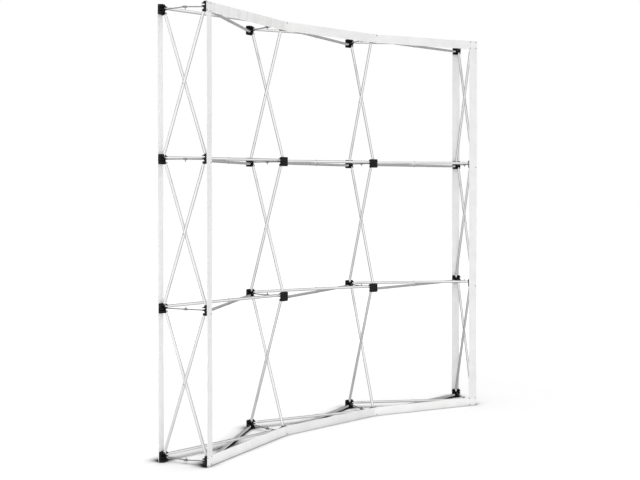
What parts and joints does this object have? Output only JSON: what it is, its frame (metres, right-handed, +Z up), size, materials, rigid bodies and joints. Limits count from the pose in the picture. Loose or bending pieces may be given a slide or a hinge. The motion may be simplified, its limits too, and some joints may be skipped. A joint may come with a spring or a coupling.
{
  "type": "pop up display backwall",
  "caption": "Curved folding-lattice display backwall frame with black hubs, aluminium scissor tubes, hooked locking arms and pale hook-tape borders.",
  "frame": {"origin": "on the floor, under the middle of the overall box", "axes": "+Z up, the hollow side of the curve faces -Y, +X to the right seen from the hollow side"},
  "size_m": [2.2772, 0.491, 2.255],
  "materials": {
    "black_hub_plastic": "moulded black nylon with a fine grain",
    "anodised_tube": "satin clear-anodised drawn tube",
    "tube_end_plastic": "moulded natural white nylon",
    "bright_steel": "zinc-plated, satin",
    "arm_steel": "plated steel rod, satin",
    "hook_tape": "woven white tape with short hooks"
  },
  "bodies": {
    "frame": {"front_hubs_1": "black_hub_plastic", "front_hubs_2": "black_hub_plastic", "front_hubs_3": "black_hub_plastic", "front_hubs_4": "black_hub_plastic", "rear_hubs_1": "black_hub_plastic", "rear_hubs_2": "black_hub_plastic", "rear_hubs_3": "black_hub_plastic", "rear_hubs_4": "black_hub_plastic", "upright_tubes_1": "anodised_tube", "upright_tubes_2": "anodised_tube", "upright_tubes_3": "anodised_tube", "upright_tubes_4": "anodised_tube", "level_tubes_1": "anodised_tube", "level_tubes_2": "anodised_tube", "level_tubes_3": "anodised_tube", "level_tubes_4": "anodised_tube", "upright_tube_ends": "tube_end_plastic", "level_tube_ends": "tube_end_plastic", "crossing_rivets": "bright_steel", "crossing_washers": "tube_end_plastic", "hub_pins": "bright_steel", "front_top_tape": "hook_tape", "front_bottom_tape": "hook_tape", "front_left_tape": "hook_tape", "front_right_tape": "hook_tape", "rear_left_tape": "hook_tape", "rear_right_tape": "hook_tape", "tape_rivets": "bright_steel"},
    "rear_arm_1_1": {"rear_arm_1_1": "arm_steel"},
    "front_arm_1_1": {"front_arm_1_1": "arm_steel"},
    "rear_arm_1_2": {"rear_arm_1_2": "arm_steel"},
    "front_arm_1_2": {"front_arm_1_2": "arm_steel"},
    "rear_arm_1_3": {"rear_arm_1_3": "arm_steel"},
    "front_arm_1_3": {"front_arm_1_3": "arm_steel"},
    "rear_arm_1_4": {"rear_arm_1_4": "arm_steel"},
    "front_arm_1_4": {"front_arm_1_4": "arm_steel"},
    "rear_arm_2_1": {"rear_arm_2_1": "arm_steel"},
    "front_arm_2_1": {"front_arm_2_1": "arm_steel"},
    "rear_arm_2_2": {"rear_arm_2_2": "arm_steel"},
    "front_arm_2_2": {"front_arm_2_2": "arm_steel"},
    "rear_arm_2_3": {"rear_arm_2_3": "arm_steel"},
    "front_arm_2_3": {"front_arm_2_3": "arm_steel"},
    "rear_arm_2_4": {"rear_arm_2_4": "arm_steel"},
    "front_arm_2_4": {"front_arm_2_4": "arm_steel"},
    "rear_arm_3_1": {"rear_arm_3_1": "arm_steel"},
    "front_arm_3_1": {"front_arm_3_1": "arm_steel"},
    "rear_arm_3_2": {"rear_arm_3_2": "arm_steel"},
    "front_arm_3_2": {"front_arm_3_2": "arm_steel"},
    "rear_arm_3_3": {"rear_arm_3_3": "arm_steel"},
    "front_arm_3_3": {"front_arm_3_3": "arm_steel"},
    "rear_arm_3_4": {"rear_arm_3_4": "arm_steel"},
    "front_arm_3_4": {"front_arm_3_4": "arm_steel"},
    "rear_arm_4_1": {"rear_arm_4_1": "arm_steel"},
    "front_arm_4_1": {"front_arm_4_1": "arm_steel"},
    "rear_arm_4_2": {"rear_arm_4_2": "arm_steel"},
    "front_arm_4_2": {"front_arm_4_2": "arm_steel"},
    "rear_arm_4_3": {"rear_arm_4_3": "arm_steel"},
    "front_arm_4_3": {"front_arm_4_3": "arm_steel"},
    "rear_arm_4_4": {"rear_arm_4_4": "arm_steel"},
    "front_arm_4_4": {"front_arm_4_4": "arm_steel"}
  },
  "joints": [
    {"name": "rear_arm_1_1_pivot", "type": "hinge", "parent": "frame", "child": "rear_arm_1_1", "pos_m": [-1.10552, -0.01277, 0.025], "axis": [-0.8934, -0.4493, 0], "range_deg": [-4.5, 0]},
    {"name": "front_arm_1_1_pivot", "type": "hinge", "parent": "frame", "child": "front_arm_1_1", "pos_m": [-1.00487, -0.21289, 0.025], "axis": [0.8934, 0.4493, 0], "range_deg": [0, 40]},
    {"name": "rear_arm_1_2_pivot", "type": "hinge", "parent": "frame", "child": "rear_arm_1_2", "pos_m": [-1.10552, -0.01277, 0.76], "axis": [-0.8934, -0.4493, 0], "range_deg": [-40, 0]},
    {"name": "front_arm_1_2_pivot", "type": "hinge", "parent": "frame", "child": "front_arm_1_2", "pos_m": [-1.00487, -0.21289, 0.76], "axis": [0.8934, 0.4493, 0], "range_deg": [0, 40]},
    {"name": "rear_arm_1_3_pivot", "type": "hinge", "parent": "frame", "child": "rear_arm_1_3", "pos_m": [-1.10552, -0.01277, 1.495], "axis": [-0.8934, -0.4493, 0], "range_deg": [0, 40]},
    {"name": "front_arm_1_3_pivot", "type": "hinge", "parent": "frame", "child": "front_arm_1_3", "pos_m": [-1.00487, -0.21289, 1.495], "axis": [0.8934, 0.4493, 0], "range_deg": [-40, 0]},
    {"name": "rear_arm_1_4_pivot", "type": "hinge", "parent": "frame", "child": "rear_arm_1_4", "pos_m": [-1.10552, -0.01277, 2.23], "axis": [-0.8934, -0.4493, 0], "range_deg": [0, 40]},
    {"name": "front_arm_1_4_pivot", "type": "hinge", "parent": "frame", "child": "front_arm_1_4", "pos_m": [-1.00487, -0.21289, 2.23], "axis": [0.8934, 0.4493, 0], "range_deg": [-40, 0]},
    {"name": "rear_arm_2_1_pivot", "type": "hinge", "parent": "frame", "child": "rear_arm_2_1", "pos_m": [-0.38066, 0.21996, 0.025], "axis": [-0.988, -0.1547, 0], "range_deg": [-4.5, 0]},
    {"name": "front_arm_2_1_pivot", "type": "hinge", "parent": "frame", "child": "front_arm_2_1", "pos_m": [-0.346, -0.00135, 0.025], "axis": [0.988, 0.1547, 0], "range_deg": [0, 40]},
    {"name": "rear_arm_2_2_pivot", "type": "hinge", "parent": "frame", "child": "rear_arm_2_2", "pos_m": [-0.38066, 0.21996, 0.76], "axis": [-0.988, -0.1547, 0], "range_deg": [-40, 0]},
    {"name": "front_arm_2_2_pivot", "type": "hinge", "parent": "frame", "child": "front_arm_2_2", "pos_m": [-0.346, -0.00135, 0.76], "axis": [0.988, 0.1547, 0], "range_deg": [0, 40]},
    {"name": "rear_arm_2_3_pivot", "type": "hinge", "parent": "frame", "child": "rear_arm_2_3", "pos_m": [-0.38066, 0.21996, 1.495], "axis": [-0.988, -0.1547, 0], "range_deg": [0, 40]},
    {"name": "front_arm_2_3_pivot", "type": "hinge", "parent": "frame", "child": "front_arm_2_3", "pos_m": [-0.346, -0.00135, 1.495], "axis": [0.988, 0.1547, 0], "range_deg": [-40, 0]},
    {"name": "rear_arm_2_4_pivot", "type": "hinge", "parent": "frame", "child": "rear_arm_2_4", "pos_m": [-0.38066, 0.21996, 2.23], "axis": [-0.988, -0.1547, 0], "range_deg": [0, 40]},
    {"name": "front_arm_2_4_pivot", "type": "hinge", "parent": "frame", "child": "front_arm_2_4", "pos_m": [-0.346, -0.00135, 2.23], "axis": [0.988, 0.1547, 0], "range_deg": [-40, 0]},
    {"name": "rear_arm_3_1_pivot", "type": "hinge", "parent": "frame", "child": "rear_arm_3_1", "pos_m": [0.38066, 0.21996, 0.025], "axis": [-0.988, 0.1547, 0], "range_deg": [-4.5, 0]},
    {"name": "front_arm_3_1_pivot", "type": "hinge", "parent": "frame", "child": "front_arm_3_1", "pos_m": [0.346, -0.00135, 0.025], "axis": [0.988, -0.1547, 0], "range_deg": [0, 40]},
    {"name": "rear_arm_3_2_pivot", "type": "hinge", "parent": "frame", "child": "rear_arm_3_2", "pos_m": [0.38066, 0.21996, 0.76], "axis": [-0.988, 0.1547, 0], "range_deg": [-40, 0]},
    {"name": "front_arm_3_2_pivot", "type": "hinge", "parent": "frame", "child": "front_arm_3_2", "pos_m": [0.346, -0.00135, 0.76], "axis": [0.988, -0.1547, 0], "range_deg": [0, 40]},
    {"name": "rear_arm_3_3_pivot", "type": "hinge", "parent": "frame", "child": "rear_arm_3_3", "pos_m": [0.38066, 0.21996, 1.495], "axis": [-0.988, 0.1547, 0], "range_deg": [0, 40]},
    {"name": "front_arm_3_3_pivot", "type": "hinge", "parent": "frame", "child": "front_arm_3_3", "pos_m": [0.346, -0.00135, 1.495], "axis": [0.988, -0.1547, 0], "range_deg": [-40, 0]},
    {"name": "rear_arm_3_4_pivot", "type": "hinge", "parent": "frame", "child": "rear_arm_3_4", "pos_m": [0.38066, 0.21996, 2.23], "axis": [-0.988, 0.1547, 0], "range_deg": [0, 40]},
    {"name": "front_arm_3_4_pivot", "type": "hinge", "parent": "frame", "child": "front_arm_3_4", "pos_m": [0.346, -0.00135, 2.23], "axis": [0.988, -0.1547, 0], "range_deg": [-40, 0]},
    {"name": "rear_arm_4_1_pivot", "type": "hinge", "parent": "frame", "child": "rear_arm_4_1", "pos_m": [1.10552, -0.01277, 0.025], "axis": [-0.8934, 0.4493, 0], "range_deg": [-4.5, 0]},
    {"name": "front_arm_4_1_pivot", "type": "hinge", "parent": "frame", "child": "front_arm_4_1", "pos_m": [1.00487, -0.21289, 0.025], "axis": [0.8934, -0.4493, 0], "range_deg": [0, 40]},
    {"name": "rear_arm_4_2_pivot", "type": "hinge", "parent": "frame", "child": "rear_arm_4_2", "pos_m": [1.10552, -0.01277, 0.76], "axis": [-0.8934, 0.4493, 0], "range_deg": [-40, 0]},
    {"name": "front_arm_4_2_pivot", "type": "hinge", "parent": "frame", "child": "front_arm_4_2", "pos_m": [1.00487, -0.21289, 0.76], "axis": [0.8934, -0.4493, 0], "range_deg": [0, 40]},
    {"name": "rear_arm_4_3_pivot", "type": "hinge", "parent": "frame", "child": "rear_arm_4_3", "pos_m": [1.10552, -0.01277, 1.495], "axis": [-0.8934, 0.4493, 0], "range_deg": [0, 40]},
    {"name": "front_arm_4_3_pivot", "type": "hinge", "parent": "frame", "child": "front_arm_4_3", "pos_m": [1.00487, -0.21289, 1.495], "axis": [0.8934, -0.4493, 0], "range_deg": [-40, 0]},
    {"name": "rear_arm_4_4_pivot", "type": "hinge", "parent": "frame", "child": "rear_arm_4_4", "pos_m": [1.10552, -0.01277, 2.23], "axis": [-0.8934, 0.4493, 0], "range_deg": [0, 40]},
    {"name": "front_arm_4_4_pivot", "type": "hinge", "parent": "frame", "child": "front_arm_4_4", "pos_m": [1.00487, -0.21289, 2.23], "axis": [0.8934, -0.4493, 0], "range_deg": [-40, 0]}
  ]
}
